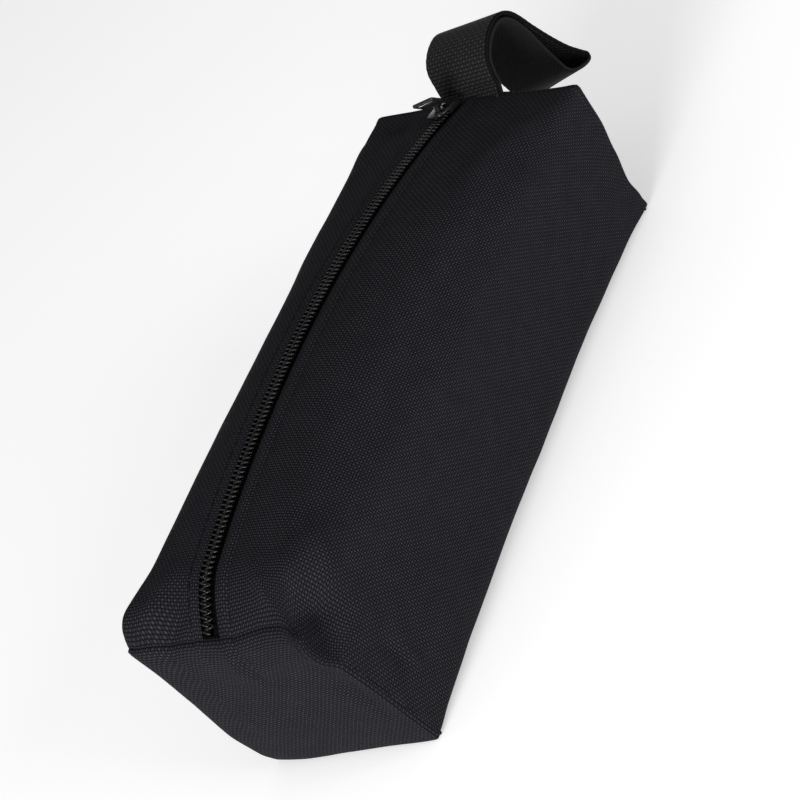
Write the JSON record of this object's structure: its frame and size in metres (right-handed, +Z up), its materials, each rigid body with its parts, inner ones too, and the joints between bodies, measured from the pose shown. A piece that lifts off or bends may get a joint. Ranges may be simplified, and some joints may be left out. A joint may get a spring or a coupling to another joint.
{
  "type": "sandbag",
  "caption": "Box-shaped fabric sandbag pouch with a crowned zipped top, a doubled webbing hanging loop at one end, and a sand-filled liner inside.",
  "frame": {"origin": "on the floor, under the middle of the bag's length and width, on the flat underside", "axes": "+X along the bag towards the loop and the closed end of the zip, +Y across it, +Z up"},
  "size_m": [0.2321, 0.069, 0.0738],
  "materials": {
    "fabric": "coarse plain-weave polyester, satin sheen",
    "webbing": "ribbed woven webbing, matt",
    "zip_tape": "fine woven tape, matt",
    "zip_coil": "nylon coil, semi-gloss",
    "slider_metal": "black enamel, worn at its edges",
    "tab_metal": "plated zinc, lightly scratched",
    "thread": "twisted polyester thread",
    "binding": "woven binding tape",
    "liner_film": "translucent film",
    "tie": "moulded nylon",
    "sand": "dry quartz sand"
  },
  "bodies": {
    "bag": {"body_panel": "fabric", "near_end_panel": "fabric", "far_end_panel": "fabric", "near_seam_binding": "binding", "far_seam_binding": "binding", "zip_tape_left": "zip_tape", "zip_tape_right": "zip_tape", "zip_coil_left": "zip_coil", "zip_coil_right": "zip_coil", "zip_topstitch_left": "thread", "zip_topstitch_right": "thread", "handle_root": "webbing", "liner_bag": "liner_film", "liner_tie": "tie", "sand_fill": "sand"},
    "slider": {"slider_body": "slider_metal"},
    "pull_tab": {"pull_tab": "tab_metal"},
    "handle": {"handle_loop": "webbing"}
  },
  "joints": [
    {"name": "slider_travel", "type": "hinge", "parent": "bag", "child": "slider", "pos_m": [-0.015, 0.003, -0.3294], "axis": [0, -1, 0], "range_deg": [0, 23.2]},
    {"name": "pull_tab_swing", "type": "hinge", "parent": "slider", "child": "pull_tab", "pos_m": [0.09038, 0.003, 0.06206], "axis": [-0.3303, 0.9397, 0.0889], "range_deg": [-33, 75]},
    {"name": "handle_swing", "type": "hinge", "parent": "bag", "child": "handle", "pos_m": [0.09865, -0.0015, 0.058], "axis": [0, -1, 0], "range_deg": [-40, 35], "stiffness_Nm_per_rad": 0.02}
  ]
}
